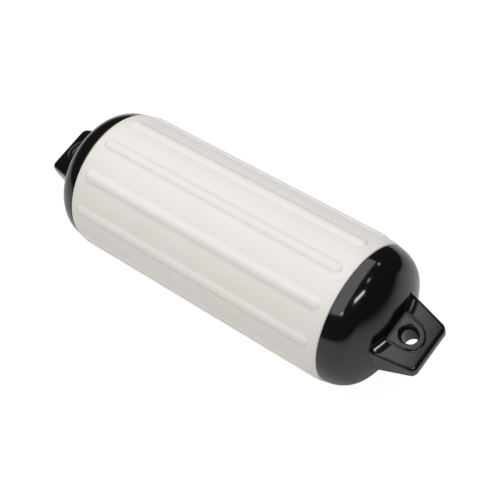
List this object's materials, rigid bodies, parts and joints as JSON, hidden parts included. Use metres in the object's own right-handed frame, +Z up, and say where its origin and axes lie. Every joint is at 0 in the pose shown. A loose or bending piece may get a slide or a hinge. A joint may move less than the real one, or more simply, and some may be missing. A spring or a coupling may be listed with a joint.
{
  "type": "pneumatic fender",
  "caption": "Inflatable ribbed boat fender: white vinyl body with lengthwise ribs, black end mouldings with rope eyes and an inflation valve.",
  "frame": {"origin": "centre of the flat spot that the fender rests on, under the middle of its length", "axes": "+X along the fender towards the end without the valve, +Z up as it lies on its side"},
  "size_m": [0.664, 0.211, 0.21],
  "materials": {
    "white_vinyl": "satin off-white vinyl",
    "black_vinyl": "glossy black moulded vinyl",
    "valve_nylon": "satin dark grey nylon"
  },
  "bodies": {
    "root": {"body_shell": "white_vinyl", "plain_end": "black_vinyl", "valve_end": "black_vinyl", "valve_housing": "valve_nylon", "valve_screw": "valve_nylon"}
  },
  "joints": []
}
